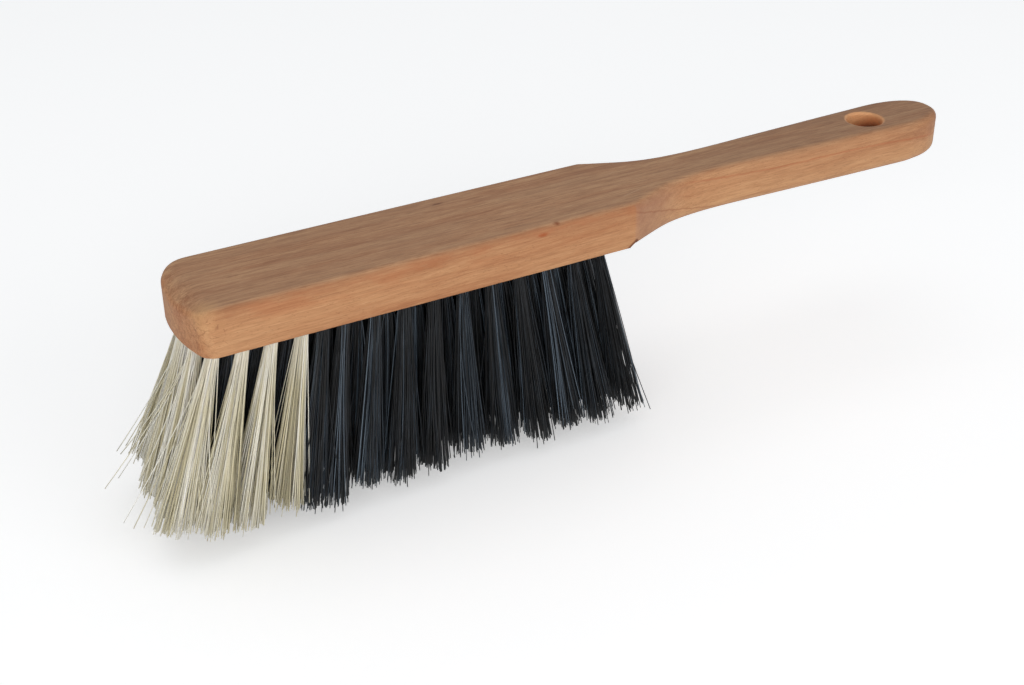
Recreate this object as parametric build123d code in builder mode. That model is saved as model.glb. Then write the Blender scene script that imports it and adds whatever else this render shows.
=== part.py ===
from build123d import *
import math
import os

os.makedirs("parts", exist_ok=True)

# Bee brush: a one-piece beech stock with folded filament tufts anchored in
# blind holes. White tufts form a horseshoe round the nose, black tufts fill
# the rest of the field.
# Frame: millimetres, +X from the brush head towards the handle's end, +Z up,
# bristles down. "Near" is the -Y side, "far" the +Y side. The origin is the
# centre of the hanging hole, half way through the board.

# ---------------------------------------------------------------- board
TOTAL_LENGTH = 340.0
BOARD_T = 18.0
HEAD_W = 46.0
HEAD_LENGTH = 174.5          # nose to the crease where the neck starts
HOLE_FROM_NOSE = 304.0       # hanging hole, measured from the nose
HANG_HOLE_R = 7.5
HANG_HOLE_LIP = 1.3          # rounded mouth of the hanging hole

NOSE_FRONT_R = 66.0          # gentle bow of the nose seen from above
NEAR_CORNER_R = 6.2          # corner between the nose and the near side
FAR_CORNER_R = 12.5          # corner between the nose and the far side
CROWN_L = 9.6                # the top bends down over this length at the nose
CROWN_R = 12.4               # radius of that bend
CROWN_OVERRUN = 0.6          # the bend is cut this far past the nose
CROWN_MID = 3.0              # middle point of the bend, from the nose

RUNOUT_L = 2.7               # slanted corner at the crease, along the board
RUNOUT_H = 2.05              # and across it
RUNOUT_CUTTER = 14.0         # side of the square block that cuts it
RUNOUT_CUTTER_H = 6.0

TOP_ROUND = 3.2              # roundover of the top edge
TOP_BAND = 3.2               # top edges have their centres in this depth
TOP_MAX_RISE = 0.75          # steeper edges than this are not top edges
HEAD_BOTTOM_ROUND = 0.9      # the head's lower edge is nearly crisp
NECK_BOTTOM_ROUND = 4.2      # the handle's lower edge is fully rounded
CREASE_MARGIN = 0.01         # keeps the crease itself out of edge selections

# ---------------------------------------------------------------- handle
CREASE_R = 5.5               # small turn in plan where the neck leaves the head
CREASE_SLOPE = 0.42          # inward slope at the end of that turn
# (share of the handle's length from the crease, half width)
HANDLE_STATIONS = [
    (0.040, 20.6), (0.080, 17.75), (0.130, 14.65), (0.180, 12.85),
    (0.240, 11.9), (0.320, 11.7), (0.440, 12.35), (0.580, 13.1),
    (0.720, 13.8), (0.840, 14.3),
]
END_SLOPE = 0.03             # outward slope where the rounded end starts
END_POWER = 2.35             # superellipse power of the rounded end
END_STEPS = 14

# ---------------------------------------------------------------- tufts
TUFT_HOLE_D = 5.0
TUFT_HOLE_DEPTH = 12.0
DRILL_OVERRUN = 3.0          # the drill's cut goes on this far below the face
TUFT_D = 4.94                # filament bundle, a hair under the hole
TUFT_LENGTH = 73.0           # filaments standing out of the board
TUFT_TIP_MAX = 13.2          # widest fan of one tuft at its trimmed end
TUFT_GAP = 0.5               # least air between two tufts at their ends
FOLD_ROUND = 1.9             # rounding of the folded, buried end
FOLD_GAP = 0.1               # air between the fold and the hole's floor
SHANK_OUT = 2.0              # round shank below the face, before the fan

ANCHOR_L = 7.4               # flat anchor wire, longer than the hole is wide
ANCHOR_H = 1.8
ANCHOR_T = 0.4
ANCHOR_DEPTH = 9.4           # deep edge of the anchor above the board's face

FAN_CENTRE = 112.0           # from the nose; tufts here don't lean along X
FAN_PER_MM = 0.0034          # slope gained per millimetre along the board
FAN_LIMIT = 0.27             # steepest lean towards the nose
SPLAY_EDGE = 0.12            # outward slope of the outer rows
SPLAY_CORNER = 0.17          # outward slope of the two corner tufts

# rows: distances from the centre line, then stations from the nose
EDGE_ROW_Y = 17.0
INNER_ROW_Y = 8.5
ROW_PITCH = 11.75
ROW_COUNT = 13
EDGE_WHITE = [18.9, 29.4, 40.7]
EDGE_BLACK = [48.6, 56.6, 68.4, 79.9, 91.6, 103.2, 115.0, 126.6, 138.2, 150.0, 161.3]
INNER_ROW = [16.95 + ROW_PITCH * i for i in range(ROW_COUNT)]
CENTRE_ROW = [22.9 + ROW_PITCH * i for i in range(ROW_COUNT)]
# single tufts, one on each side: (station from the nose, distance off centre)
CORNER = (9.3, 14.0)
NOSE_PAIR = (6.6, 5.0)

HALF_W = HEAD_W / 2
TOP_Z = BOARD_T / 2
FACE_Z = -BOARD_T / 2        # the face the tufts stand in
NOSE_X = -HOLE_FROM_NOSE
CROWN_X = NOSE_X + CROWN_L
CREASE_X = NOSE_X + HEAD_LENGTH
END_X = NOSE_X + TOTAL_LENGTH


# ---------------------------------------------------------------- outlines
def mirrored(points):
    """The same plan points on the other side of the centre line."""
    return [(x, -y) for x, y in points]


def nose_corner(radius):
    """Start, middle and end of the far corner arc, tangent to side and front."""
    centre_y = HALF_W - radius
    reach = math.sqrt((NOSE_FRONT_R - radius) ** 2 - centre_y**2)
    centre_x = NOSE_X + NOSE_FRONT_R - reach
    swing = math.atan2(centre_y, reach)
    half_turn = (math.pi / 2 + swing) / 2
    middle = (
        centre_x - radius * math.cos(half_turn),
        centre_y + radius * math.sin(half_turn),
    )
    meet = (
        NOSE_X + NOSE_FRONT_R * (1 - math.cos(swing)),
        NOSE_FRONT_R * math.sin(swing),
    )
    return (centre_x, HALF_W), middle, meet


def crown_point(run):
    """Point (x, z) on the crown, run in front of where it starts."""
    drop = CROWN_R - math.sqrt(CROWN_R**2 - run**2)
    return CROWN_X - run, TOP_Z - drop


def crease_turn(angle):
    """Point on the far crease arc after it has turned by angle."""
    return (
        CREASE_X + CREASE_R * math.sin(angle),
        HALF_W - CREASE_R * (1 - math.cos(angle)),
    )


def handle_end(start_x, half_width):
    """Superellipse points from the far side round the tip to the near side."""
    points = []
    for i in range(END_STEPS + 1):
        angle = math.pi / 2 * (1 - 2 * i / END_STEPS)
        x = start_x + (END_X - start_x) * abs(math.cos(angle)) ** (2 / END_POWER)
        y = half_width * abs(math.sin(angle)) ** (2 / END_POWER)
        points.append((x, math.copysign(y, angle)))
    return points


# ---------------------------------------------------------------- tuft field
def lean(station, y):
    """Slope along X and Y of a tuft, per unit down."""
    along = max(FAN_PER_MM * (station - FAN_CENTRE), -FAN_LIMIT)
    if (station, abs(y)) == CORNER:
        return along, math.copysign(SPLAY_CORNER, y)
    return along, SPLAY_EDGE * y / EDGE_ROW_Y


tufts = {}                   # piece name: list of (x, y, slope_x, slope_y)


def place(group, station, y):
    tufts.setdefault(group, []).append((NOSE_X + station, y, *lean(station, y)))


for side, sign in (("near", -1), ("far", 1)):
    for i, station in enumerate(EDGE_WHITE, 1):
        place(f"white_tuft_{side}_flank_{i}", station, sign * EDGE_ROW_Y)
    place(f"white_tuft_{side}_corner", CORNER[0], sign * CORNER[1])
    place(f"white_tuft_{side}_nose", NOSE_PAIR[0], sign * NOSE_PAIR[1])
    for i, station in enumerate(EDGE_BLACK, 1):
        place(f"black_tuft_{side}_{i:02d}", station, sign * EDGE_ROW_Y)
    for station in INNER_ROW:
        place(f"black_tufts_inner_{side}_row", station, sign * INNER_ROW_Y)
for station in CENTRE_ROW:
    place("black_tufts_centre_row", station, 0.0)

every_tuft = [tuft for group in tufts.values() for tuft in group]


def axis_plane(tuft):
    """Plane at the mouth of a tuft's hole, its normal down along the tuft."""
    x, y, slope_x, slope_y = tuft
    return Plane(origin=(x, y, FACE_Z), x_dir=(1, 0, slope_x), z_dir=(slope_x, slope_y, -1))


def tip_centre(tuft):
    x, y, slope_x, slope_y = tuft
    height = TUFT_LENGTH / math.sqrt(1 + slope_x**2 + slope_y**2)
    return x + slope_x * height, y + slope_y * height


def tip_diameter(tuft):
    """Fan of a tuft at its end, so that it stays clear of its neighbours."""
    centre = tip_centre(tuft)
    nearest = min(
        math.dist(centre, tip_centre(other)) for other in every_tuft if other is not tuft
    )
    return min(TUFT_TIP_MAX, nearest - TUFT_GAP)


# ---------------------------------------------------------------- pieces
def make_handle():
    """Neck and handle, from the crease to the rounded end."""
    far_crease, near_crease = (CREASE_X, HALF_W), (CREASE_X, -HALF_W)
    angle = math.atan(CREASE_SLOPE)
    turn = [crease_turn(angle / 2), crease_turn(angle)]
    length = END_X - CREASE_X
    flank = [turn[-1]] + [(CREASE_X + share * length, half) for share, half in HANDLE_STATIONS]
    with BuildPart() as handle:
        with BuildSketch(Plane.XY.offset(FACE_Z)):
            with BuildLine():
                ThreePointArc(far_crease, *turn)
                Spline(*flank, tangents=[(1, -CREASE_SLOPE), (1, END_SLOPE)])
                Spline(*handle_end(*flank[-1]), tangents=[(1, END_SLOPE), (-1, END_SLOPE)])
                Spline(*mirrored(flank), tangents=[(1, CREASE_SLOPE), (1, -END_SLOPE)])
                ThreePointArc(near_crease, *mirrored(turn))
                Line(far_crease, near_crease)
            make_face()
        extrude(amount=BOARD_T)
        bottom = handle.faces().sort_by(Axis.Z)[0].edges()
        fillet(
            bottom.filter_by(lambda e: e.center().X > CREASE_X + CREASE_MARGIN),
            radius=NECK_BOTTOM_ROUND,
        )
    return handle.part


def is_top_edge(edge):
    """Edge near the top, not steep and not centred on the crown's start."""
    centre = edge.center()
    at_crown_start = abs(centre.Y) < 0.1 and abs(centre.X - CROWN_X) < 0.1
    return (
        centre.Z > TOP_Z - TOP_BAND
        and abs(edge.tangent_at(0.5).Z) < TOP_MAX_RISE
        and not at_crown_start
    )


def make_stock():
    """Head and handle in one, with hanging hole, tuft holes and anchor slits."""
    handle = make_handle()
    crown_tip = crown_point(CROWN_L + CROWN_OVERRUN)
    crown_start = (CROWN_X, TOP_Z)
    far_start, far_mid, far_meet = nose_corner(FAR_CORNER_R)
    near_start, near_mid, near_meet = mirrored(nose_corner(NEAR_CORNER_R))
    with BuildPart() as stock:
        # side profile of the head, crowned down at the nose
        with BuildSketch(Plane.XZ):
            with BuildLine():
                ThreePointArc(crown_tip, crown_point(CROWN_L - CROWN_MID), crown_start)
                Polyline(
                    crown_start, (CREASE_X, TOP_Z), (CREASE_X, FACE_Z),
                    (NOSE_X - CROWN_OVERRUN, FACE_Z), crown_tip,
                )
            make_face()
        extrude(amount=HEAD_W, both=True)
        # plan of the head: bowed nose, two unequal corners, flat sides
        with BuildSketch(Plane.XY.offset(FACE_Z)):
            with BuildLine():
                ThreePointArc(far_start, far_mid, far_meet)
                ThreePointArc(far_meet, (NOSE_X, 0), near_meet)
                ThreePointArc(near_meet, near_mid, near_start)
                Line(near_start, (CREASE_X, -HALF_W))
                Line((CREASE_X, -HALF_W), (CREASE_X, HALF_W))
                Line((CREASE_X, HALF_W), far_start)
            make_face()
        extrude(amount=BOARD_T, mode=Mode.INTERSECT)
        bottom = stock.faces().sort_by(Axis.Z)[0].edges()
        fillet(
            bottom.filter_by(lambda e: e.center().X < CREASE_X - CREASE_MARGIN),
            radius=HEAD_BOTTOM_ROUND,
        )
        # small slanted corners where the neck's roundover runs out
        for sign in (-1, 1):
            ahead = Vector(CREASE_X - RUNOUT_L, sign * HALF_W, FACE_Z)
            above = Vector(CREASE_X, sign * HALF_W, FACE_Z + RUNOUT_H)
            inward = Vector(CREASE_X, sign * (HALF_W - RUNOUT_H), FACE_Z)
            normal = (above - ahead).cross(inward - ahead) * sign
            centre = (ahead + above + inward) / 3
            with BuildSketch(Plane(origin=centre, x_dir=above - ahead, z_dir=normal)):
                Rectangle(RUNOUT_CUTTER, RUNOUT_CUTTER)
            extrude(amount=RUNOUT_CUTTER_H, mode=Mode.SUBTRACT)
        add(handle)
        fillet(stock.edges().filter_by(is_top_edge), radius=TOP_ROUND)
        # hanging hole with rounded mouths
        with Locations((0, 0, TOP_Z)):
            Hole(radius=HANG_HOLE_R, depth=BOARD_T)
        rims = stock.edges().filter_by(GeomType.CIRCLE).filter_by(
            lambda e: abs(e.radius - HANG_HOLE_R) < 1e-6
        )
        fillet(rims, radius=HANG_HOLE_LIP)
        # blind holes, each drilled along its tuft
        for tuft in every_tuft:
            with BuildSketch(axis_plane(tuft).offset(-TUFT_HOLE_DEPTH)):
                Circle(TUFT_HOLE_D / 2)
            extrude(amount=TUFT_HOLE_DEPTH + DRILL_OVERRUN, mode=Mode.SUBTRACT)
        # slits that the anchors bite into the walls
        for tuft in every_tuft:
            with BuildSketch(axis_plane(tuft).offset(-ANCHOR_DEPTH)):
                Rectangle(ANCHOR_T, ANCHOR_L)
            extrude(amount=ANCHOR_H, mode=Mode.SUBTRACT)
    return stock.part


def make_tuft(tuft):
    """Folded bundle: a round shank in its hole, then a fan to the trim line."""
    mouth = axis_plane(tuft)
    with BuildPart() as bundle:
        with BuildSketch(mouth.offset(-TUFT_HOLE_DEPTH + FOLD_GAP)):
            Circle(TUFT_D / 2)
        extrude(amount=TUFT_HOLE_DEPTH - FOLD_GAP + SHANK_OUT)
        fillet(bundle.faces().sort_by(Axis.Z)[-1].edges(), radius=FOLD_ROUND)
        with BuildSketch(mouth.offset(SHANK_OUT)):
            Circle(TUFT_D / 2)
        with BuildSketch(mouth.offset(TUFT_LENGTH)):
            Circle(tip_diameter(tuft) / 2)
        loft()
        # room for the anchor
        with BuildSketch(mouth.offset(-ANCHOR_DEPTH)):
            Rectangle(ANCHOR_T, ANCHOR_L)
        extrude(amount=ANCHOR_H, mode=Mode.SUBTRACT)
    return bundle.part


def make_anchor(tuft):
    """Flat wire across the hole, through the buried end of its tuft."""
    with BuildPart() as anchor:
        with BuildSketch(axis_plane(tuft).offset(-ANCHOR_DEPTH)):
            Rectangle(ANCHOR_T, ANCHOR_L)
        extrude(amount=ANCHOR_H)
    return anchor.part


def gather(make_one, members):
    """One part holding what make_one builds for each tuft."""
    with BuildPart() as piece:
        for tuft in members:
            add(make_one(tuft))
    return piece.part


def anchor_row(group):
    """Name of the anchor piece that holds a tuft group's anchors."""
    if "row" in group:
        return group.replace("black_tufts_", "anchors_")
    if "nose" in group or "corner" in group:
        return "anchors_nose"
    return "anchors_near_edge_row" if "near" in group else "anchors_far_edge_row"


def save(part, name):
    part.label = name
    export_step(part, f"parts/{name}.step")


save(make_stock(), "wooden_stock")

anchor_rows = {}
for group, members in tufts.items():
    save(gather(make_tuft, members), group)
    anchor_rows.setdefault(anchor_row(group), []).extend(members)

for row, members in anchor_rows.items():
    save(gather(make_anchor, members), row)
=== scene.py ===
"""A hand brush: a beech stock with white tufts round its nose and black ones behind.

The stock lies along x: nose at x = -304 mm, bored handle at the origin. Its top faces +z
and the tufts hang from the face at z = -9 mm. "Near" is the -y side, "far" is +y.
Design lengths are in millimetres; MM turns them into metres.
"""

import math
from functools import reduce
from typing import NamedTuple

import bpy
import numpy as np
from mathutils import Matrix, Vector


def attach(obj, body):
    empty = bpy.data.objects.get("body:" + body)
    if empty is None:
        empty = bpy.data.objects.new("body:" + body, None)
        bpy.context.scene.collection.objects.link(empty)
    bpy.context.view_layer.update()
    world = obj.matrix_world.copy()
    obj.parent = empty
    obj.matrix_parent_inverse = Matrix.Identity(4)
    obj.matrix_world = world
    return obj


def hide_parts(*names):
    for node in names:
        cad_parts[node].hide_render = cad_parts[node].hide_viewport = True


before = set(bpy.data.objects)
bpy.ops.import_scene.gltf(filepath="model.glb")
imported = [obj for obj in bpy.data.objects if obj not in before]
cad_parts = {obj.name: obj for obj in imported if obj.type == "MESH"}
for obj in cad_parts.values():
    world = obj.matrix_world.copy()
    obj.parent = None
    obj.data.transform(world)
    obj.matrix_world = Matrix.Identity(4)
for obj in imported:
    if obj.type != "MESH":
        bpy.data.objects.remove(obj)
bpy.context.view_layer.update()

MM = 0.001

# ------------------------------------------------------------ tuft positions
NOSE_X = -304.0
FACE_Z = -9.0           # underside of the stock

# leans are slopes: sideways travel per unit of drop
FAN_CENTRE = 112.0      # distance from the nose where tufts hang straight
FAN_PER_MM = 0.0034     # lean along x gained per mm from there
FAN_LIMIT = 0.27        # steepest lean towards the nose
SPLAY_EDGE = 0.12       # outward lean of the edge rows
SPLAY_CORNER = 0.17

# distances from the nose, and rows either side of the centre line
EDGE_ROW_Y = 17.0
INNER_ROW_Y = EDGE_ROW_Y / 2
EDGE_WHITE = [18.9, 29.4, 40.7]
EDGE_BLACK = [48.6, 56.6, 68.4, 79.9, 91.6, 103.2, 115.0, 126.6, 138.2, 150.0, 161.3]
HOLE_PITCH = 11.75
HOLES_PER_ROW = 13
INNER_START = 16.95
CENTRE_START = 22.9
CORNER = (9.3, 14.0)
NOSE_PAIR = (6.6, 5.0)


class Tuft(NamedTuple):
    x: float
    y: float
    lean: tuple
    kind: str


tufts = {}


def place(group, from_nose, y, kind):
    lean_x = max(FAN_PER_MM * (from_nose - FAN_CENTRE), -FAN_LIMIT)
    if kind == "corner":
        lean_y = math.copysign(SPLAY_CORNER, y)
    else:
        lean_y = SPLAY_EDGE * y / EDGE_ROW_Y
    tufts.setdefault(group, []).append(Tuft(NOSE_X + from_nose, y, (lean_x, lean_y), kind))


def place_row(group, start, y):
    for i in range(HOLES_PER_ROW):
        place(group, start + HOLE_PITCH * i, y, "inner")


for side, sign in (("near", -1), ("far", 1)):
    for i, from_nose in enumerate(EDGE_WHITE, 1):
        place(f"white_tuft_{side}_flank_{i}", from_nose, sign * EDGE_ROW_Y, "flank")
    place(f"white_tuft_{side}_corner", CORNER[0], sign * CORNER[1], "corner")
    place(f"white_tuft_{side}_nose", NOSE_PAIR[0], sign * NOSE_PAIR[1], "nose")
    for i, from_nose in enumerate(EDGE_BLACK, 1):
        place(f"black_tuft_{side}_{i:02d}", from_nose, sign * EDGE_ROW_Y, "edge")
    place_row(f"black_tufts_inner_{side}_row", INNER_START, sign * INNER_ROW_Y)
place_row("black_tufts_centre_row", CENTRE_START, 0.0)

# ------------------------------------------------------------ filament bundles
LENGTH = 73.0           # full length of a tuft below the face
CLASSES = 64            # tone classes, one texture column each
SIDES = 4               # sides of a filament
# rings of a filament as shares of its length; the first lies inside the hole
STATIONS = np.array([-0.105, 0.0, 0.13, 0.28, 0.44, 0.60, 0.76, 0.89, 1.0])


class Kind(NamedTuple):
    count: int                  # filaments in a tuft
    fan_radius: float           # radius of the fan at the trim
    radius: float               # radius of one filament
    curl: float
    strays: float               # share of filaments that stray
    short: float                # how far the trim stays short of LENGTH
    root_radius: float = 2.30   # radius of the bundle at its hole
    looseness: float = 0.19     # random share of the fan
    opening: float = 1.25       # above 1 the bundle opens further down


KINDS = {
    "edge": Kind(132, 6.2, 0.18, 0.030, 0.045, 3.2),
    "inner": Kind(128, 6.4, 0.215, 0.040, 0.020, 3.4, 2.45, 0.30, 0.55),
    "flank": Kind(168, 8.0, 0.18, 0.022, 0.045, 4.2),
    "corner": Kind(184, 9.8, 0.18, 0.026, 0.060, 5.2),
    "nose": Kind(172, 8.6, 0.18, 0.026, 0.055, 4.6),
}

# extra lean of single tufts, as slopes along x and y
NUDGE = {
    "white_tuft_near_nose": (-0.040, -0.02),
    "white_tuft_near_corner": (-0.105, 0.02),
    "white_tuft_near_flank_1": (-0.078, -0.02),
    "white_tuft_near_flank_2": (-0.015, 0.0),
    "white_tuft_near_flank_3": (-0.012, 0.0),
}
# loosest filaments of single tufts: slope x, slope y, length
LOOSE = {
    "white_tuft_far_nose": [(-0.421, 0.442, 70.0), (-0.360, 0.470, 69.0)],
    "white_tuft_near_nose": [
        (-0.436, 0.530, 70.0), (-0.383, 0.533, 70.0),
        (-0.571, 0.293, 74.0), (-0.47, 0.36, 72.0),
    ],
    "white_tuft_near_corner": [
        (-0.606, 0.076, 74.0), (-0.550, 0.038, 74.0), (-0.50, 0.02, 73.0),
    ],
    "black_tuft_near_11": [
        (0.262, -0.182, 74.0), (0.215, -0.150, 71.0), (0.235, -0.10, 66.0),
    ],
}
LOOSE_BEND = (0.03, 0.02)
TIDY = {"white_tuft_near_flank_3"}      # tufts without strays

# variation from tuft to tuft
FAN_VARIATION = (0.84, 1.04)    # factor on the fan radius
LEAN_SCATTER = 0.012            # slope
TRIM_VARIATION = (-2.4, 0.9)    # mm
CUT_SCATTER = 0.05              # tilt of the trimmed end
CUT_GAIN = 4.0
# variation from filament to filament
GOLDEN_ANGLE = 2.39996          # packs the roots as a sunflower head
PHASE = 6.28                    # range of random phases, radians
QUARTER = 1.57                  # range of random twists, radians
ROOT_SCATTER = 0.03             # share of the root radius
LOOSE_SHRINK = 1.2              # how much looseness narrows the regular fan
STRAY_SPREAD = 0.75             # share of the fan
STRAY_BEND = 2.0
LENGTH_SCATTER = 1.0            # mm
DOME = 2.6                      # mm lost at the rim of the fan
DOME_REACH = 1.6                # rim distance past which no more is lost
BROKEN_SHARE, BROKEN_LOSS = 0.10, (2, 9)
PROUD_SHARE, PROUD_GAIN = 0.05, (1, 3.5)
PROUD_LIMIT = 3.2               # mm past LENGTH
RADIUS_VARIATION = (0.92, 1.08)

# tone waves across a tuft, radians per mm; then the scatter about them
WAVES = (0.55, 0.95, 1.6)
WAVE_DEPTH = 0.17
TONE_SCATTER = 0.13             # per filament
TUFT_TONE_SCATTER = 0.05
TONE_STATION = 5                # ring at which the waves are read

# texture layout: shares of a column across, shares of the map along
UV_MARGIN, UV_WIDTH = 0.14, 0.72
UV_START, UV_LENGTH = 0.02, 0.94
CAP_U = np.array([0.3, 0.7, 0.7, 0.3])
ROOT_CAP_V = [0.005, 0.005, 0.015, 0.015]
TIP_CAP_V = [0.972, 0.972, 0.99, 0.99]


def bundle(rng, tuft, group):
    """Centre lines (filament, ring, xyz) of one tuft, in millimetres."""
    kind = KINDS[tuft.kind]
    count = kind.count
    lean = np.array(tuft.lean)
    fan = kind.fan_radius * rng.uniform(*FAN_VARIATION) / LENGTH
    drift = rng.normal(0, LEAN_SCATTER, 2) + np.array(NUDGE.get(group, (0.0, 0.0)))
    trim = LENGTH - kind.short + rng.uniform(*TRIM_VARIATION)
    cut = rng.normal(0, CUT_SCATTER, 2)

    index = np.arange(count) + 0.5
    from_axis = np.sqrt(index / count)
    angle = index * GOLDEN_ANGLE + rng.uniform(0, PHASE)
    root = np.stack([from_axis * np.cos(angle), from_axis * np.sin(angle)], -1)
    root += rng.normal(0, ROOT_SCATTER, root.shape)
    root /= np.maximum(1.0, np.linalg.norm(root, axis=1))[:, None]

    spread = root * fan * (1.0 - LOOSE_SHRINK * kind.looseness)
    spread = spread + rng.normal(0, fan * kind.looseness, (count, 2))
    stray = rng.random(count) < (0.0 if group in TIDY else kind.strays)
    spread[stray] += rng.normal(0, fan * STRAY_SPREAD, (int(stray.sum()), 2))
    bend = rng.normal(0, kind.curl, (count, 2))
    bend[stray] *= STRAY_BEND

    reach = np.linalg.norm(spread, axis=1) / fan
    length = trim + rng.normal(0, LENGTH_SCATTER, count)
    length = length - np.minimum(reach, DOME_REACH) ** 2 * DOME
    length += (spread @ cut) * LENGTH * CUT_GAIN
    length -= np.where(rng.random(count) < BROKEN_SHARE, rng.uniform(*BROKEN_LOSS, count), 0.0)
    length += np.where(rng.random(count) < PROUD_SHARE, rng.uniform(*PROUD_GAIN, count), 0.0)
    length = np.minimum(length, LENGTH + PROUD_LIMIT)

    main = lean + drift
    for i, (slope_x, slope_y, loose_length) in enumerate(LOOSE.get(group, [])):
        spread[i] = np.array([slope_x, slope_y]) - main
        bend[i] = LOOSE_BEND
        length[i] = loose_length

    slope = main + spread
    in_hole = np.minimum(STATIONS, 0.0)[:, None]
    below = np.maximum(STATIONS, 0.0)[:, None]
    drop = length[:, None, None] / np.sqrt(1 + (slope**2).sum(1))[:, None, None]
    xy = (
        np.array([tuft.x, tuft.y])
        + root[:, None, :] * (kind.root_radius - kind.radius)
        + lean * in_hole * LENGTH
        + main * drop * below
        + spread[:, None, :] * drop * below**kind.opening
        + bend[:, None, :] * drop * (below * below - below)
    )
    z = FACE_Z - drop * below - in_hole * LENGTH
    return np.concatenate([xy, z], -1)


def lock_tones(rng, line):
    """Tones of one tuft's filaments; neighbours form locks of a like tone, which on the black
    filaments become streaks of painted sheen.
    """
    middle = line[:, TONE_STATION, :2] - line[:, TONE_STATION, :2].mean(0)
    headings = rng.uniform(0, math.tau, len(WAVES))
    wave = sum(
        np.sin((middle @ np.array([math.cos(heading), math.sin(heading)])) * frequency
               + rng.uniform(0, PHASE))
        for heading, frequency in zip(headings, WAVES)
    )
    scatter = rng.normal(0, TONE_SCATTER, len(line))
    return 0.5 + WAVE_DEPTH * wave + scatter + rng.normal(0, TUFT_TONE_SCATTER)


def sweep(rng, line, radius):
    """Ring points (filament, ring, side, xyz) round the centre lines."""
    tangent = np.gradient(line, axis=1)
    tangent /= np.linalg.norm(tangent, axis=2, keepdims=True)
    across = np.array([1.0, 0, 0]) - tangent * tangent[..., :1]
    across /= np.linalg.norm(across, axis=2, keepdims=True)
    other = np.cross(tangent, across)
    twist = rng.uniform(0, QUARTER, len(line))[:, None, None, None]
    angle = (np.arange(SIDES) / SIDES * 2 * math.pi)[None, None, :, None] + twist
    ring = across[:, :, None, :] * np.cos(angle) + other[:, :, None, :] * np.sin(angle)
    return line[:, :, None, :] + ring * radius[:, None, None, None]


def filament_faces(count, rings):
    """Side quads, then root caps, then tip caps."""
    start = np.arange(count)[:, None] * rings * SIDES
    row = (np.arange(rings - 1) * SIDES)[None, :, None]
    side = np.arange(SIDES)
    following = (side + 1) % SIDES
    base = start[:, :, None] + row
    quads = np.stack(
        [base + side, base + following, base + SIDES + following, base + SIDES + side], -1
    ).reshape(-1, 4)
    root_caps = start + side[::-1]
    tip_caps = start + (rings - 1) * SIDES + side
    return np.concatenate([quads, root_caps, tip_caps])[:, ::-1]


def filament_uvs(tone_class, along):
    """UVs in the order of filament_faces; each class owns one column."""
    side = np.arange(SIDES)
    column = tone_class[:, None, None]
    left = (column + UV_MARGIN + UV_WIDTH * side / SIDES) / CLASSES
    right = (column + UV_MARGIN + UV_WIDTH * (side + 1) / SIDES) / CLASSES
    low = UV_START + UV_LENGTH * along[None, :-1, None]
    high = UV_START + UV_LENGTH * along[None, 1:, None]
    left, right, low, high = np.broadcast_arrays(left, right, low, high)
    quads = np.stack([left, low, right, low, right, high, left, high], -1).reshape(-1, 4, 2)
    cap_u = (tone_class[:, None] + CAP_U) / CLASSES
    caps = [
        np.stack([cap_u, np.broadcast_to(cap_v, cap_u.shape)], -1)
        for cap_v in (ROOT_CAP_V, TIP_CAP_V)
    ]
    return np.concatenate([quads, *caps])[:, ::-1]


def filament_object(group, members, seed):
    rng = np.random.default_rng(seed)
    lines = [bundle(rng, tuft, group) for tuft in members]
    tone = np.concatenate([lock_tones(rng, line) for line in lines])
    tone_class = (np.clip(tone, 0.0, 0.999) * CLASSES).astype(int)
    line = np.concatenate(lines)
    count, rings, _ = line.shape
    radius = KINDS[members[0].kind].radius * rng.uniform(*RADIUS_VARIATION, count)
    verts = (sweep(rng, line, radius).reshape(-1, 3) * MM).astype(np.float32)
    faces = filament_faces(count, rings)
    along = (STATIONS - STATIONS[0]) / (STATIONS[-1] - STATIONS[0])

    name = group.replace("_tufts_", "_filaments_").replace("_tuft_", "_filaments_")
    mesh = bpy.data.meshes.new(name)
    mesh.vertices.add(len(verts))
    mesh.vertices.foreach_set("co", verts.ravel())
    mesh.loops.add(faces.size)
    mesh.loops.foreach_set("vertex_index", faces.astype(np.int32).ravel())
    mesh.polygons.add(len(faces))
    mesh.polygons.foreach_set("loop_start", np.arange(0, faces.size, 4, dtype=np.int32))
    # sides are smooth, the two caps of each filament flat
    smooth = np.arange(len(faces)) < len(faces) - 2 * count
    mesh.polygons.foreach_set("use_smooth", smooth)
    mesh.update(calc_edges=True)
    layer = mesh.uv_layers.new(name="OFBake")
    layer.data.foreach_set("uv", filament_uvs(tone_class, along).astype(np.float32).ravel())
    for attribute, values in (
        ("fil_t", along[None, :, None]),
        ("fil_class", tone_class[:, None, None]),
    ):
        per_vertex = np.broadcast_to(values, (count, rings, SIDES)).reshape(-1)
        data = mesh.attributes.new(attribute, "FLOAT", "POINT").data
        data.foreach_set("value", per_vertex.astype(np.float32))
    mesh.validate()
    ob = bpy.data.objects.new(name, mesh)
    bpy.context.scene.collection.objects.link(ob)
    return ob


# ------------------------------------------------------------ node helpers
def srgb(*channels):
    """sRGB 0-255 to linear RGBA."""
    def linear(value):
        value /= 255.0
        return value / 12.92 if value <= 0.04045 else ((value + 0.055) / 1.055) ** 2.4
    return (*map(linear, channels), 1.0)


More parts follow.
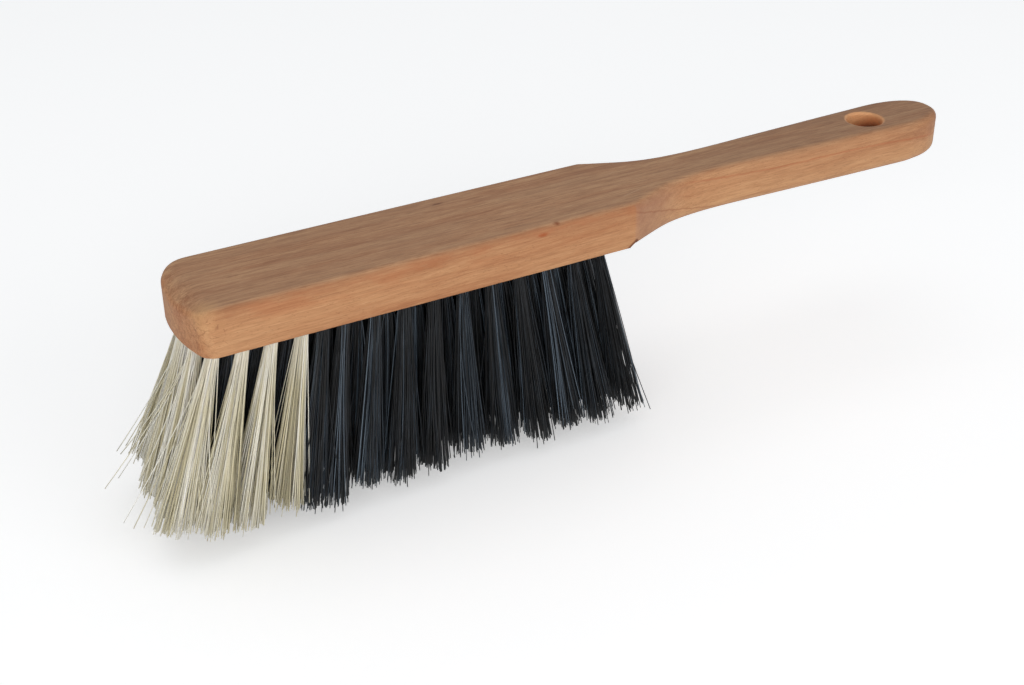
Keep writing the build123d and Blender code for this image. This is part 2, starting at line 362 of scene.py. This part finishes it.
class Material:
    """A Principled material; `colour` is the base colour built up layer by layer."""

    def __init__(self, name):
        self.data = bpy.data.materials.new(name)
        self.data.use_nodes = True
        self.tree = self.data.node_tree
        self.tree.nodes.clear()
        output = self.node("OutputMaterial")
        self.bsdf = self.node("BsdfPrincipled")
        self.tree.links.new(self.bsdf.outputs["BSDF"], output.inputs["Surface"])
        self.colour = None

    def node(self, kind):
        return self.tree.nodes.new("ShaderNode" + kind)

    def put(self, socket, value):
        if isinstance(value, bpy.types.NodeSocket):
            self.tree.links.new(value, socket)
        else:
            socket.default_value = value

    def set(self, **values):
        for key, value in values.items():
            self.put(self.bsdf.inputs[key.replace("_", " ")], value)

    def math(self, operation, first, second=0.0):
        node = self.node("Math")
        node.operation = operation
        for socket, value in zip(node.inputs, (first, second, 0.0)):
            self.put(socket, value)
        return node.outputs[0]

    def add(self, *terms):
        return reduce(lambda total, term: self.math("ADD", total, term), terms)

    def mul(self, *factors):
        return reduce(lambda total, factor: self.math("MULTIPLY", total, factor), factors)

    def sub(self, first, second):
        return self.math("SUBTRACT", first, second)

    def abs(self, value):
        return self.math("ABSOLUTE", value)

    def wobble(self, noise, amount):
        """Noise centred on zero, `amount` from end to end."""
        return self.mul(self.sub(noise, 0.5), amount)

    def vector_math(self, operation, first, second=(0, 0, 0)):
        node = self.node("VectorMath")
        node.operation = operation
        self.put(node.inputs[0], first)
        self.put(node.inputs[1], second)
        return node.outputs["Value" if operation in ("LENGTH", "DISTANCE") else "Vector"]

    def combine(self, *coords):
        node = self.node("CombineXYZ")
        for socket, value in zip(node.inputs, coords):
            self.put(socket, value)
        return node.outputs[0]

    def split(self, vector):
        node = self.node("SeparateXYZ")
        self.put(node.inputs[0], vector)
        return tuple(node.outputs)

    def position_mm(self):
        coords = self.node("TexCoord").outputs["Object"]
        point = self.vector_math("SCALE", coords)
        point.node.inputs["Scale"].default_value = 1000.0
        return point

    def scaled(self, coords, frequency):
        """Coordinates times frequency; those past the last frequency stay as they are."""
        if isinstance(coords, bpy.types.NodeSocket):
            return self.vector_math("MULTIPLY", coords, frequency)
        moved = [self.mul(coord, factor) for coord, factor in zip(coords, frequency)]
        return self.combine(*moved, *coords[len(moved):])

    def noise(self, coords, frequency, detail, rough):
        node = self.node("TexNoise")
        self.put(node.inputs["Vector"], self.scaled(coords, frequency))
        node.inputs["Scale"].default_value = 1.0
        node.inputs["Detail"].default_value = detail
        node.inputs["Roughness"].default_value = rough
        return node.outputs["Fac"]

    def voronoi(self, coords, frequency, feature):
        node = self.node("TexVoronoi")
        node.feature = feature
        self.put(node.inputs["Vector"], self.scaled(coords, frequency))
        node.inputs["Scale"].default_value = 1.0
        return node.outputs

    def ramp(self, factor, stops):
        """Stops are (position, sRGB)."""
        node = self.node("ValToRGB")
        elements = node.color_ramp.elements
        while len(elements) < len(stops):
            elements.new(0.5)
        for element, (position, rgb) in zip(elements, stops):
            element.position = position
            element.color = srgb(*rgb)
        self.put(node.inputs["Fac"], factor)
        return node.outputs["Color"]

    def grade(self, value, over, to=(0.0, 1.0), smooth=True):
        """Carry the range `over` to the range `to`, clamped."""
        node = self.node("MapRange")
        node.interpolation_type = "SMOOTHSTEP" if smooth else "LINEAR"
        node.clamp = True
        self.put(node.inputs["Value"], value)
        for label, limits in (("From", over), ("To", to)):
            node.inputs[label + " Min"].default_value = limits[0]
            node.inputs[label + " Max"].default_value = limits[1]
        return node.outputs["Result"]

    def mix(self, factor, first, second, blend="MIX"):
        node = self.node("Mix")
        node.data_type = "RGBA"
        node.blend_type = blend
        node.clamp_factor = True
        self.put(node.inputs["Factor"], factor)
        self.put(node.inputs[6], first)     # colour A
        self.put(node.inputs[7], second)    # colour B
        return node.outputs[2]

    def tint(self, mask, rgb, strength=None):
        """Lay an sRGB colour over the base colour where the mask is."""
        factor = mask if strength is None else self.mul(mask, strength)
        self.colour = self.mix(factor, self.colour, srgb(*rgb))

    def shade(self, factors, mask=None):
        """Multiply the base colour by RGB factors, everywhere or in the mask."""
        shaded = self.mix(1.0, self.colour, (*factors, 1.0), "MULTIPLY")
        self.colour = shaded if mask is None else self.mix(mask, self.colour, shaded)

    def bump(self, height, strength, distance):
        node = self.node("Bump")
        node.inputs["Strength"].default_value = strength
        node.inputs["Distance"].default_value = distance
        self.put(node.inputs["Height"], height)
        return node.outputs["Normal"]

    def attribute(self, name):
        node = self.node("Attribute")
        node.attribute_type = "GEOMETRY"
        node.attribute_name = name
        return node.outputs["Fac"]


# ------------------------------------------------------------ beech
PITH_Y, PITH_Z = 34.0, -46.0    # centre of the growth rings
RINGS_PER_MM = 0.36

# noise along the fibres: frequency per mm, detail, roughness
GRAIN_NOISES = {
    "band": ((0.004, 0.15, 0.10), 3.0, 0.55),
    "streak": ((0.024, 1.05, 0.62), 4.0, 0.62),
    "fibre": ((0.07, 2.6, 2.6), 5.0, 0.65),
    "hair": ((0.16, 5.5, 5.5), 3.0, 0.70),
    "pore": ((0.13, 1.75, 1.75), 3.0, 0.60),
    "line": ((0.055, 0.72, 0.9), 5.0, 0.72),
}
# noise, its range, strength, sRGB, whether it is calmed on the flanks
STREAK_TINTS = [
    ("streak", (0.52, 0.72), 0.50, (160, 104, 71), True),
    ("streak", (0.48, 0.24), 0.45, (214, 172, 134), False),
]
FINE_TINTS = [
    ("fibre", (0.48, 0.80), 0.40, (140, 92, 62), False),
    ("fibre", (0.46, 0.22), 0.30, (222, 184, 148), False),
    ("hair", (0.52, 0.72), 0.34, (128, 82, 54), False),
    ("hair", (0.46, 0.28), 0.22, (232, 196, 158), False),
    ("pore", (0.54, 0.66), 0.42, (132, 86, 58), True),
    ("pore", (0.44, 0.33), 0.30, (222, 182, 144), True),
    ("line", (0.50, 0.62), 0.40, (136, 88, 60), True),
    ("line", (0.47, 0.36), 0.30, (224, 184, 146), True),
]
# a pin knot, two resin-coloured blemishes on the near edge, a faint dark spot:
# centre, half sizes, where the soft edge ends (share of size), strength, sRGB
SPOTS = [
    ((-193.9, 15.2, 9.0), (3.4, 0.9, 1.5), 0.2, 0.72, (100, 58, 36)),
    ((-163.4, -20.9, 8.0), (2.3, 1.6, 1.5), 0.3, 0.88, (126, 62, 30)),
    ((-170.0, -23.0, 6.2), (3.2, 1.4, 1.1), 0.2, 0.80, (166, 82, 38)),
    ((-161.0, 16.1, 9.0), (2.2, 1.6, 1.5), 0.0, 0.22, (110, 76, 54)),
]


class Beech(Material):
    def __init__(self):
        super().__init__("beech_wood")
        self.point = self.position_mm()
        self.xyz = self.split(self.point)
        self.normal = self.split(self.node("NewGeometry").outputs["Normal"])
        self.stipple = self.noise(self.point, frequency=(0.9, 1.7, 1.7), detail=5.0, rough=0.7)
        self.broken = self.noise(self.point, frequency=(0.35,) * 3, detail=3.0, rough=0.6)
        self.follow_fibres()
        self.growth_rings()
        self.grain()
        self.ray_flecks()
        self.end_grain()
        self.top_face()
        self.flanks()
        self.neck()
        self.handle_ring()
        self.spots_and_scratch()
        self.nose_corner()
        self.crease_corners()
        self.bored_hole()
        self.handling_wear()
        self.surface()

    def follow_fibres(self):
        """Coordinates along fibres that wander slowly from side to side."""
        x, y, z = self.xyz
        wander = self.noise(self.xyz, frequency=(0.012, 0.02, 0.02), detail=2.0, rough=0.5)
        wander = self.wobble(wander, amount=3.5)
        drift_y, drift_z, wander_z = 0.012, -0.02, 0.6
        grain_y = self.add(y, wander, self.mul(x, drift_y))
        grain_z = self.add(self.sub(z, self.mul(wander, wander_z)), self.mul(x, drift_z))
        self.flow = (x, grain_y, grain_z)
        self.grains = {
            name: self.noise(self.flow, *spec) for name, spec in GRAIN_NOISES.items()
        }

    def growth_rings(self):
        _, grain_y, grain_z = self.flow
        from_y = self.sub(grain_y, PITH_Y)
        from_z = self.add(grain_z, -PITH_Z)
        squares = self.add(self.mul(from_y, from_y), self.mul(from_z, from_z))
        uneven = self.noise(self.flow, frequency=(0.01, 0.11, 0.11), detail=3.0, rough=0.55)
        unevenness = 2.6    # mm
        radius = self.add(self.math("SQRT", squares), self.mul(uneven, unevenness))
        self.year = self.math("FRACT", self.mul(radius, RINGS_PER_MM))
        late = self.grade(self.year, over=(0.55, 0.97))
        late_depth = 0.9
        early = self.grade(self.year, over=(0.0, 0.07), to=(1.0, 0.0))
        self.ring = self.math("MAXIMUM", self.mul(late, late_depth), early)
        # a noise that changes from ring to ring
        self.ring_tone = self.noise(
            (radius, 3.7, 1.1), frequency=(RINGS_PER_MM,), detail=2.0, rough=0.6)

    def grain(self):
        """Broad lengthwise bands, then streaks, rings and ever finer fibre."""
        self.colour = self.ramp(self.grains["band"], [
            (0.30, (206, 160, 122)), (0.47, (196, 147, 110)),
            (0.60, (184, 131, 95)), (0.74, (170, 114, 79)),
        ])
        quiet = self.grade(self.abs(self.normal[1]), over=(0.30, 0.80), to=(1.0, 0.45))
        self.grain_tints(STREAK_TINTS, quiet)
        depth = self.grade(self.ring_tone, over=(0.3, 0.7), to=(0.04, 0.26))
        self.tint(self.mul(self.ring, depth), rgb=(150, 96, 64), strength=quiet)
        self.grain_tints(FINE_TINTS, quiet)

    def grain_tints(self, rows, quiet):
        for name, over, strength, rgb, calmed in rows:
            mask = self.grade(self.grains[name], over=over, to=(0.0, strength))
            self.tint(mask, rgb, strength=quiet if calmed else None)

    def ray_flecks(self):
        """Short dark flecks, absent from the end grain."""
        x, grain_y, grain_z = self.flow
        shear = 0.7
        slanted = self.add(x, self.mul(self.xyz[2], shear))
        cells = self.voronoi((slanted, grain_y, grain_z), frequency=(0.46, 1.6, 1.5), feature="F1")
        self.fleck = self.mul(
            self.grade(cells["Distance"], over=(0.26, 0.10)),
            self.grade(self.split(cells["Color"])[0], over=(0.36, 0.44)),
            self.grade(self.abs(self.normal[0]), over=(0.75, 0.35)),
        )
        self.tint(self.fleck, rgb=(124, 74, 46), strength=0.34)

    def end_grain(self):
        """Darker, stippled ends, with dark arcs where the growth rings come out."""
        end = self.grade(self.abs(self.normal[0]), over=(0.55, 0.95))
        stippled = self.grade(self.stipple, over=(0.35, 0.70), to=(0.05, 0.34))
        self.tint(end, rgb=(192, 122, 78), strength=stippled)
        arc = self.mul(
            self.grade(self.year, over=(0.0, 0.10), to=(1.0, 0.0)),
            self.grade(self.abs(self.normal[0]), over=(0.25, 0.60)),
        )
        gaps = self.grade(self.broken, over=(0.42, 0.62), to=(0.0, 0.55))
        self.tint(arc, rgb=(120, 70, 44), strength=gaps)

    def top_face(self):
        """Slightly greyer, in long smears, and darker towards the handle."""
        x, y, _ = self.xyz
        top = self.grade(self.normal[2], over=(0.80, 0.99))
        smear = self.noise((x, y, 4.0), frequency=(0.02, 0.09), detail=3.0, rough=0.5)
        smear = self.grade(smear, over=(0.30, 0.70), to=(0.10, 0.34))
        self.tint(top, rgb=(172, 136, 108), strength=smear)
        self.shade((0.98, 0.97, 0.97), mask=top)
        self.shade((0.87, 0.86, 0.84), mask=self.mul(top, self.grade(x, over=(-150.0, -20.0))))

    def flanks(self):
        x, _, z = self.xyz
        flank = self.grade(self.abs(self.normal[1]), over=(0.25, 0.75))
        # warm band under the top edge
        uneven = self.noise((x, 0.3, 0.7), frequency=(0.02,), detail=2.0, rough=0.5)
        level = self.add(z, self.wobble(uneven, amount=5.0))
        warm = self.mul(
            self.grade(level, over=(2.4, 5.8)),
            flank,
            self.grade(x, over=(-105.0, -140.0), to=(0.35, 1.0)),
        )
        streaky = self.grade(self.grains["streak"], over=(0.3, 0.7), to=(0.26, 0.58))
        self.tint(warm, rgb=(158, 102, 70), strength=streaky)
        # rusty clouds
        cloud = self.noise(self.xyz, frequency=(0.05, 0.1, 0.22), detail=4.0, rough=0.65)
        rusty = self.mul(
            self.grade(cloud, over=(0.46, 0.62)),
            self.grade(z, over=(-2.5, 5.0)),
            self.grade(x, over=(-60.0, -130.0), to=(0.25, 1.0)),
            flank,
        )
        self.tint(rusty, rgb=(178, 106, 68), strength=0.30)
        # a darker, warmer tone overall, redder away from the top
        self.shade((0.97, 0.95, 0.88))
        self.shade((1.02, 0.965, 0.89), mask=self.grade(self.normal[2], over=(0.85, 0.45)))

    def near_flank_line(self, distance, wobble, width):
        """A wavering line on the near flank, where the distance is zero."""
        distance = self.add(distance, self.wobble(self.broken, wobble))
        return self.mul(
            self.grade(self.abs(distance), over=(width, 0.05)),
            self.grade(self.normal[1], over=(-0.35, -0.70)),
        )

    def neck(self):
        """Paler flanks just past the crease, the near one crossed by a slanting ring."""
        x, _, z = self.xyz
        pale = self.mul(
            self.grade(x, over=(-130.2, -128.8)),
            self.grade(x, over=(-96.0, -122.0)),
            self.grade(self.abs(self.normal[1]), over=(0.45, 0.80)),
        )
        self.tint(pale, rgb=(170, 128, 104), strength=0.42)
        # the ring starts at this x and z, falls by the slope and bends back up
        start_x, start_z, slope, bend = -131.0, 6.5, 0.42, 0.0029
        past = self.add(x, -start_x)
        distance = self.add(self.sub(z, start_z), self.mul(past, slope))
        distance = self.sub(distance, self.mul(past, past, bend))
        ends = self.mul(
            self.grade(x, over=(-131.0, -128.0)), self.grade(x, over=(-72.0, -92.0)))
        line = self.mul(self.near_flank_line(distance, wobble=1.2, width=0.55), ends)
        self.tint(line, rgb=(150, 84, 52), strength=0.45)

    def handle_ring(self):
        """A second ring, a shallow cubic along the handle's near flank."""
        x, _, z = self.xyz
        middle_x, middle_z, cubic = -35.0, 3.65, 0.0000125
        past = self.add(x, -middle_x)
        distance = self.add(
            self.sub(z, middle_z), self.mul(self.mul(past, past, past), cubic))
        line = self.near_flank_line(distance, wobble=0.9, width=0.75)
        line = self.mul(line, self.grade(x, over=(-104.0, -86.0)))
        self.tint(line, rgb=(176, 92, 54), strength=0.42)

    def spots_and_scratch(self):
        x, y, _ = self.xyz
        for centre, size, edge, strength, rgb in SPOTS:
            offset = self.vector_math("SUBTRACT", self.point, centre)
            offset = self.vector_math("MULTIPLY", offset, tuple(1 / half for half in size))
            distance = self.add(
                self.vector_math("LENGTH", offset), self.wobble(self.stipple, amount=0.9))
            self.tint(self.grade(distance, over=(1.0, edge)), rgb, strength)
        # pale scratch on the top face by the neck
        middle_x, middle_y, slope = -125.0, -13.0, 0.263
        along = self.add(x, -middle_x)
        across = self.sub(self.add(y, -middle_y), self.mul(along, slope))
        self.scratch = self.mul(
            self.grade(self.abs(across), over=(0.28, 0.08)),
            self.grade(self.abs(along), over=(5.6, 3.6)),
            self.grade(self.normal[2], over=(0.6, 0.9)),
        )
        self.tint(self.scratch, rgb=(204, 172, 142), strength=0.45)

    def nose_corner(self):
        """A painted highlight and hairline checks round the near nose corner."""
        x, y, z = self.xyz
        highlight_centre, checks_centre = (-298.0, -19.0, 6.0), (-297.5, -21.0, 0.5)
        # painted highlight: a pale yellowish spot on the rounded top of the corner
        highlight = self.vector_math("DISTANCE", self.point, highlight_centre)
        highlight = self.add(highlight, self.wobble(self.broken, amount=5.0))
        self.tint(self.grade(highlight, over=(8.0, 1.5)), rgb=(212, 164, 114), strength=0.48)
        waver = 5.0     # mm
        wavering_z = self.add(z, self.mul(self.broken, waver))
        web = self.voronoi(
            (x, y, wavering_z), frequency=(0.16, 0.16, 0.42), feature="DISTANCE_TO_EDGE")
        reach = self.vector_math("DISTANCE", self.point, checks_centre)
        gaps = self.noise(self.point, frequency=(0.5, 0.5, 0.5), detail=2.0, rough=0.5)
        near = self.mul(
            self.grade(reach, over=(9.5, 5.0)), self.grade(gaps, over=(0.42, 0.62)))
        checks = self.mul(self.grade(web["Distance"], over=(0.050, 0.008)), near)
        self.tint(checks, rgb=(128, 70, 42), strength=0.44)

    def crease_corners(self):
        """Dark reddish brown laid over the slanting cuts at the crease's lower corners."""
        x, y, z = self.xyz
        centre = (-130.4, 22.6, -8.2)
        # the cut meets the edges at these lengths from its corner
        corner_x, corner_y, cut_x, cut_yz = -129.5, 23.0, 2.7, 2.05
        distance = self.vector_math("DISTANCE", self.combine(x, self.abs(y), z), centre)
        cut = self.add(
            self.mul(self.add(x, -corner_x), 1 / cut_x),
            self.mul(self.sub(self.abs(y), corner_y), 1 / cut_yz),
        )
        cut = self.sub(cut, self.mul(self.add(z, -FACE_Z), 1 / cut_yz))
        cut = self.grade(self.sub(-1.0, cut), over=(0.85, 0.30))
        corner = self.mul(self.grade(distance, over=(3.6, 2.8)), cut)
        self.tint(corner, rgb=(104, 50, 22), strength=0.88)

    def bored_hole(self):
        """Orange end grain down the hole through the handle, with painted light and shade:
        brightest near the rim towards -x, darkening down the hole and towards +x.
        """
        x, y, z = self.xyz
        from_axis = self.vector_math("LENGTH", self.combine(x, y, 0.0))
        self.bore = self.grade(from_axis, over=(8.9, 7.7))
        self.chatter = self.noise(self.point, frequency=(0.8, 0.8, 2.4), detail=4.0, rough=0.65)
        # painted light and shade on the bore: lit near the rim and on the -x wall, shaded lower
        # down and towards +x
        rim_z, per_z, per_x = 5.5, 0.75, 0.45
        shade_depth = self.add(self.mul(self.sub(rim_z, z), per_z), self.mul(x, per_x))
        shaded_wall = self.ramp(self.grade(shade_depth, over=(0.0, 6.0), smooth=False), [
            (0.10, (244, 182, 128)), (0.50, (204, 128, 80)),
            (0.66, (154, 86, 50)), (0.84, (68, 34, 18)),
        ])
        rough_cut = self.grade(self.chatter, over=(0.3, 0.7), to=(0.62, 0.92))
        self.colour = self.mix(self.mul(self.bore, rough_cut), self.colour, shaded_wall)

    def handling_wear(self):
        """A touch darker where the palm sits."""
        self.grip = self.grade(self.xyz[0], over=(-95.0, -40.0))
        soil = self.noise(self.point, frequency=(0.03, 0.09, 0.09), detail=4.0, rough=0.6)
        soil = self.grade(soil, over=(0.45, 0.75), to=(0.0, 0.22))
        self.tint(self.grip, rgb=(140, 98, 70), strength=soil)

    def surface(self):
        fibre, hair = self.grains["fibre"], self.grains["hair"]
        polish = 0.05
        rough = self.grade(fibre, over=(0.2, 0.8), to=(0.50, 0.66), smooth=False)
        # relief: each mark with its share of the height
        relief = self.add(
            self.mul(fibre, 0.6), self.mul(self.fleck, -0.35), self.mul(hair, 0.35))
        relief = self.sub(relief, self.mul(self.scratch, 0.5))
        relief = self.add(
            relief, self.mul(self.ring, 0.12), self.mul(self.bore, self.chatter, 1.2))
        self.set(
            Base_Color=self.colour,
            Roughness=self.sub(rough, self.mul(self.grip, polish)),
            Normal=self.bump(relief, strength=0.35, distance=0.00012),
            Specular_IOR_Level=0.32,
            Sheen_Weight=0.04,
            Sheen_Roughness=0.5,
        )


# ------------------------------------------------------------ filaments
class Filament(Material):
    """Tone by class, with noise along each filament from root (t = 0) to tip (1)."""

    def __init__(self, name, tones, along_frequency, along_seed, fine_frequency):
        super().__init__(name)
        tone_class = self.attribute("fil_class")
        self.t = self.attribute("fil_t")
        self.tone = self.math("DIVIDE", tone_class, CLASSES - 1.0)
        self.colour = self.ramp(self.tone, tones)
        self.along = self.noise(
            (tone_class, self.t, along_seed), (0.23, along_frequency), detail=3.0, rough=0.6)
        self.fine = self.noise(
            (tone_class, self.t, 5.0), (2.7, fine_frequency), detail=2.0, rough=0.6)
        self.set(Normal=self.bump(self.fine, strength=0.15, distance=0.00004))


def white_filament():
    m = Filament("white_filament", [
        (0.0, (146, 138, 112)), (0.14, (190, 181, 148)), (0.34, (218, 209, 177)),
        (0.55, (235, 229, 207)), (0.78, (245, 242, 230)), (1.0, (252, 250, 245)),
    ], along_frequency=4.0, along_seed=0.0, fine_frequency=9.0)
    # honey-stained lengths, grey flecks, grey worn ends, and painted light on the roots under the
    # stock
    for source, over, strength, rgb in (
        (m.along, (0.46, 0.74), 0.45, (222, 208, 162)),
        (m.fine, (0.52, 0.80), 0.25, (186, 180, 158)),
        (m.t, (0.80, 1.0), 0.20, (168, 162, 140)),
        # painted light: the roots lightened where the stock shades them
        (m.t, (0.45, 0.10), 0.45, (250, 247, 238)),
    ):
        m.tint(m.grade(source, over=over, to=(0.0, strength)), rgb)
    m.set(
        Base_Color=m.colour,
        Roughness=m.grade(m.fine, over=(0.3, 0.7), to=(0.36, 0.50)),
        Specular_IOR_Level=0.42,
        Sheen_Weight=0.05,
    )
    return m.data


def black_filament():
    # the upper tones are painted sheen: blue-grey streaks standing for glints off the glossy
    # filaments
    m = Filament("black_filament", [
        (0.0, (4, 5, 7)), (0.42, (10, 12, 15)), (0.62, (24, 29, 35)),
        (0.80, (54, 63, 72)), (1.0, (102, 115, 128)),
    ], along_frequency=3.4, along_seed=2.0, fine_frequency=8.0)
    # painted sheen: blue-grey streaks along the filaments, faded near the root
    painted_sheen = m.grade(m.along, over=(0.50, 0.74), to=(0.0, 0.50))
    below_root = m.grade(m.t, over=(0.08, 0.35), to=(0.3, 1.0))
    m.tint(painted_sheen, rgb=(66, 76, 86), strength=below_root)
    # grey flecks, dark roots, dusty worn ends
    for source, over, strength, rgb in (
        (m.fine, (0.56, 0.80), 0.30, (74, 82, 90)),
        (m.t, (0.16, 0.03), 0.60, (5, 6, 8)),
        (m.t, (0.90, 1.0), 0.30, (62, 62, 60)),
    ):
        m.tint(m.grade(source, over=over, to=(0.0, strength)), rgb)
    m.set(
        Base_Color=m.colour,
        Roughness=m.grade(m.tone, over=(0.2, 0.9), to=(0.42, 0.24)),
        Specular_IOR_Level=0.5,
    )
    return m.data


def anchor_wire():
    m = Material("anchor_wire")
    drawn = m.noise(m.position_mm(), frequency=(6.0, 0.6, 6.0), detail=4.0, rough=0.6)
    m.set(
        Base_Color=m.ramp(drawn, [(0.3, (150, 150, 150)), (0.7, (186, 187, 188))]),
        Roughness=m.grade(drawn, over=(0.3, 0.7), to=(0.28, 0.45)),
        Metallic=1.0,
        Normal=m.bump(drawn, strength=0.2, distance=0.00003),
    )
    return m.data


# ------------------------------------------------------------ stock, anchors, tufts
FIRST_SEED = 7100

wood = Beech().data
filament_materials = {"white_filament": white_filament(), "black_filament": black_filament()}
steel = anchor_wire()

for name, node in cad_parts.items():
    if name == "wooden_stock" or name.startswith("anchors_"):
        node.data.materials.clear()
        node.data.materials.append(wood if name == "wooden_stock" else steel)

lowest = 0.0
for i, (group, members) in enumerate(sorted(tufts.items())):
    ob = filament_object(group, members, FIRST_SEED + i)
    material = "white_filament" if group.startswith("white") else "black_filament"
    ob.data.materials.append(filament_materials[material])
    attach(ob, "root")
    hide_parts(group)
    coords = np.empty(len(ob.data.vertices) * 3, np.float32)
    ob.data.vertices.foreach_get("co", coords)
    lowest = min(lowest, float(coords[2::3].min()))

# ------------------------------------------------------------ floor and light (metres)
FLOOR_GAP = 0.0003      # below the lowest filament
FLOOR_HALF = 6.0


def pale_floor():
    m = Material("pale_floor")
    # the camera alone sees a faint glow
    seen = m.node("LightPath").outputs["Is Camera Ray"]
    glow = 0.36
    m.set(
        Base_Color=(0.96, 0.96, 0.96, 1.0),
        Roughness=0.9,
        Specular_IOR_Level=0.0,
        Emission_Color=(1.0, 1.0, 1.0, 1.0),
        Emission_Strength=m.mul(seen, glow),
    )
    return m.data


mesh = bpy.data.meshes.new("floor")
corners = [(x * FLOOR_HALF, y * FLOOR_HALF, 0) for x, y in ((-1, -1), (1, -1), (1, 1), (-1, 1))]
mesh.from_pydata(corners, [], [(0, 1, 2, 3)])
floor = bpy.data.objects.new("floor", mesh)
floor.location = (0, 0, lowest - FLOOR_GAP)
bpy.context.scene.collection.objects.link(floor)
floor.data.materials.append(pale_floor())

world = bpy.data.worlds.new("studio")
bpy.context.scene.world = world
world.use_nodes = True
background = world.node_tree.nodes["Background"]
background.inputs["Color"].default_value = (0.94, 0.97, 1.0, 1.0)
background.inputs["Strength"].default_value = 0.40

LIGHT_AIM = (-0.17, 0.0, -0.02)
# name, place, size, watts, colour
SOFTBOXES = [
    ("key", (-1.15, -1.30, 0.30), (1.6, 1.1), 14.2, (1.0, 0.98, 0.95)),
    ("front_fill", (0.55, -1.5, 0.55), (1.4, 1.0), 6.6, (0.99, 0.98, 0.98)),
    ("top", (-0.1, 0.3, 1.6), (1.6, 1.6), 4.5, (1, 1, 1)),
]
for name, at, size, watts, colour in SOFTBOXES:
    light = bpy.data.lights.new(name, "AREA")
    light.shape = "RECTANGLE"
    light.size, light.size_y = size
    light.energy = watts
    light.color = colour
    ob = bpy.data.objects.new(name, light)
    ob.location = at
    ob.rotation_mode = "QUATERNION"
    ob.rotation_quaternion = (Vector(LIGHT_AIM) - Vector(at)).to_track_quat("-Z", "Y")
    bpy.context.scene.collection.objects.link(ob)

# ------------------------------------------------------------ camera
YAW, PITCH, ROLL = (math.radians(angle) for angle in (-29.1515, 29.8919, -0.4878))
LENS, SENSOR = 55.27265625, 36.0
TARGET = Vector((150.0 + NOSE_X, 0, FACE_Z))
# from the target: sideways and upwards in the camera's frame, then back
SHIFT_X, SHIFT_Y, DISTANCE = -14.2168, -39.8748, 605.173

right = Vector((math.cos(YAW), math.sin(YAW), 0))
ahead = Vector((-math.sin(YAW), math.cos(YAW), 0))
up = Vector((0, 0, 1)) * math.cos(PITCH) + ahead * math.sin(PITCH)
look = ahead * math.cos(PITCH) - Vector((0, 0, 1)) * math.sin(PITCH)
camera_x = right * math.cos(ROLL) + up * math.sin(ROLL)
camera_y = up * math.cos(ROLL) - right * math.sin(ROLL)
place_mm = TARGET + camera_x * SHIFT_X + camera_y * SHIFT_Y - look * DISTANCE

camera_data = bpy.data.cameras.new("camera")
camera_data.sensor_width = SENSOR
camera_data.lens = LENS
camera_data.clip_start, camera_data.clip_end = 0.01, 50.0
camera = bpy.data.objects.new("camera", camera_data)
turn = Matrix((camera_x, camera_y, -look)).transposed().to_4x4()
camera.matrix_world = Matrix.Translation(place_mm * MM) @ turn
bpy.context.scene.collection.objects.link(camera)
bpy.context.scene.camera = camera

bpy.context.scene.view_settings.view_transform = "Standard"
bpy.context.scene.view_settings.look = "None"

bpy.context.view_layer.update()
